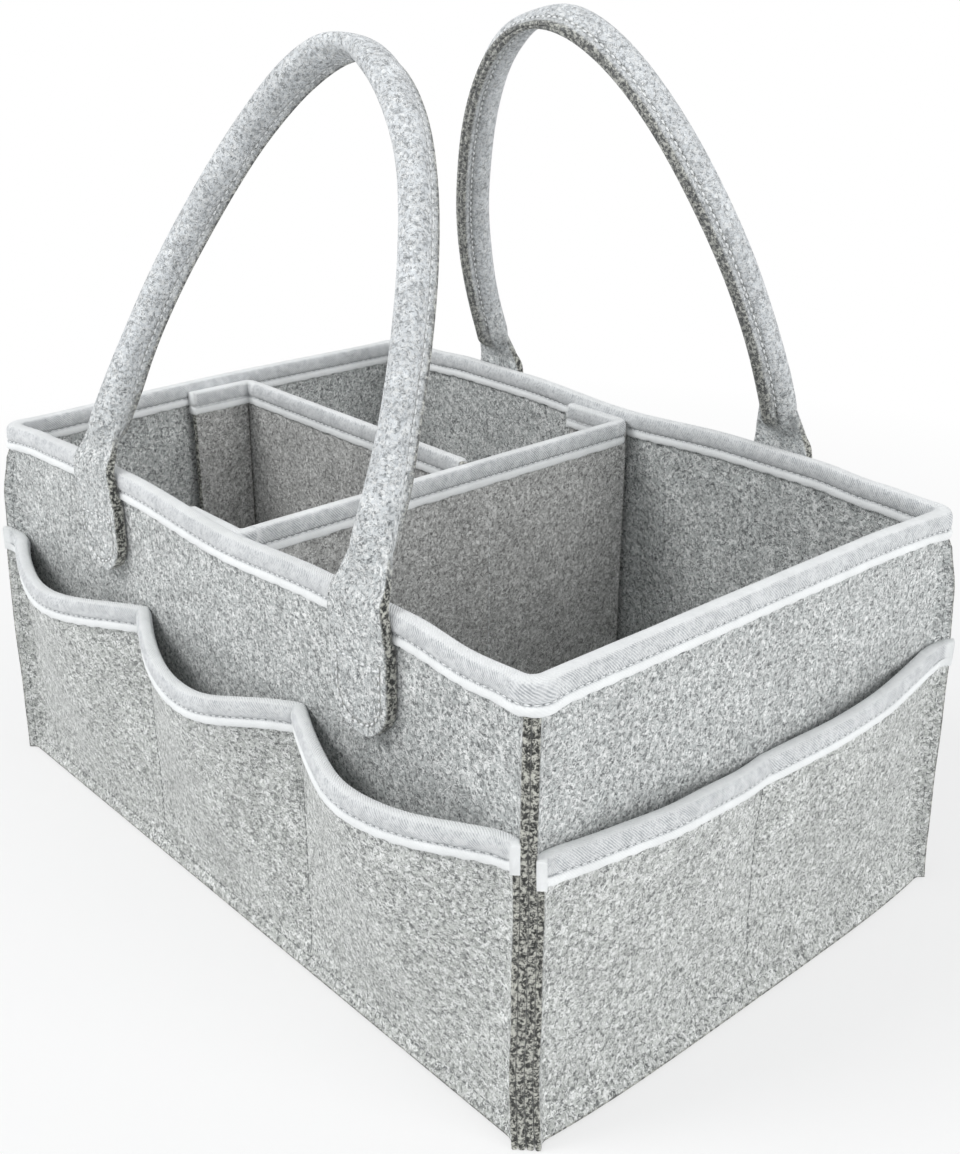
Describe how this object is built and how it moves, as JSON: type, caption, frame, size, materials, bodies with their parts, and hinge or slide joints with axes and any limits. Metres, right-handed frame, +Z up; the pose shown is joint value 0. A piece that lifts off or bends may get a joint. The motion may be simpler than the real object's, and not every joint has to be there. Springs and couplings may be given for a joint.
{
  "type": "felt organizer caddy",
  "caption": "Soft felt caddy for a stroller or nursery with leaning carry handles, outside pockets all round and a lift-out divider that folds flat.",
  "frame": {"origin": "on the floor under the middle of the base", "axes": "+X to the right end along the length, -Y to the front long side, +Z up"},
  "size_m": [0.4014, 0.2934, 0.3784],
  "materials": {
    "wall_felt": "mottled light grey pressed felt",
    "pocket_felt": "mottled light grey pressed felt",
    "handle_felt": "mottled light grey pressed felt with darker cut edges",
    "divider_felt": "mottled grey pressed felt",
    "binding_tape": "pale grey folded edge tape with fine ribs",
    "grip_strip": "short matt pile",
    "base_board": "stiff pressed fibre board",
    "handle_cord": "soft white cord filling"
  },
  "bodies": {
    "caddy": {"base_panel": "wall_felt", "base_board": "base_board", "base_lining": "divider_felt", "rim_binding": "binding_tape", "front_wall": "wall_felt", "front_pocket": "pocket_felt", "front_pocket_binding": "binding_tape", "front_loop_strip": "grip_strip", "back_wall": "wall_felt", "back_pocket": "pocket_felt", "back_pocket_binding": "binding_tape", "back_loop_strip": "grip_strip", "right_end_wall": "wall_felt", "right_pocket": "pocket_felt", "right_pocket_binding": "binding_tape", "left_end_wall": "wall_felt", "left_pocket": "pocket_felt", "left_pocket_binding": "binding_tape", "left_loop_strip": "grip_strip", "front_left_tab": "handle_felt", "front_right_tab": "handle_felt", "back_right_tab": "handle_felt", "back_left_tab": "handle_felt"},
    "front_handle": {"front_handle_sleeve": "handle_felt", "front_handle_core": "handle_cord"},
    "back_handle": {"back_handle_sleeve": "handle_felt", "back_handle_core": "handle_cord"},
    "insert": {"cross_divider": "divider_felt", "cross_divider_binding": "binding_tape", "divider_seam_tab": "divider_felt"},
    "long_divider": {"long_divider": "divider_felt", "long_divider_binding": "binding_tape"},
    "front_flap": {"front_flap": "divider_felt", "front_flap_binding": "binding_tape", "front_hook_strip": "grip_strip"},
    "back_flap": {"back_flap": "divider_felt", "back_flap_binding": "binding_tape", "back_hook_strip": "grip_strip"},
    "left_flap": {"left_flap": "divider_felt", "left_flap_binding": "binding_tape", "left_hook_strip": "grip_strip"}
  },
  "joints": [
    {"name": "front_handle_fold", "type": "hinge", "parent": "caddy", "child": "front_handle", "pos_m": [0, -0.1299, 0.1875], "axis": [1, 0, 0], "range_deg": [-11.8, 175], "stiffness_Nm_per_rad": 0.12},
    {"name": "back_handle_fold", "type": "hinge", "parent": "caddy", "child": "back_handle", "pos_m": [0, 0.1299, 0.1875], "axis": [-1, 0, 0], "range_deg": [-17.3, 169.5], "stiffness_Nm_per_rad": 0.12},
    {"name": "insert_lift", "type": "slide", "parent": "caddy", "child": "insert", "axis": [0, 0, 1], "range_m": [0, 0.172]},
    {"name": "long_divider_swing", "type": "hinge", "parent": "insert", "child": "long_divider", "pos_m": [0.00255, 0.01125, 0.09], "axis": [0, 0, 1], "range_deg": [0, 25]},
    {"name": "front_flap_fold", "type": "hinge", "parent": "insert", "child": "front_flap", "pos_m": [0.00425, -0.1127, 0.09], "axis": [0, 0, -1], "range_deg": [0, 55]},
    {"name": "back_flap_fold", "type": "hinge", "parent": "insert", "child": "back_flap", "pos_m": [0.00425, 0.1127, 0.09], "axis": [0, 0, 1], "range_deg": [0, 55]},
    {"name": "left_flap_fold", "type": "hinge", "parent": "long_divider", "child": "left_flap", "pos_m": [-0.1767, 0.01125, 0.09], "axis": [0, 0, 1], "range_deg": [0, 55]}
  ]
}
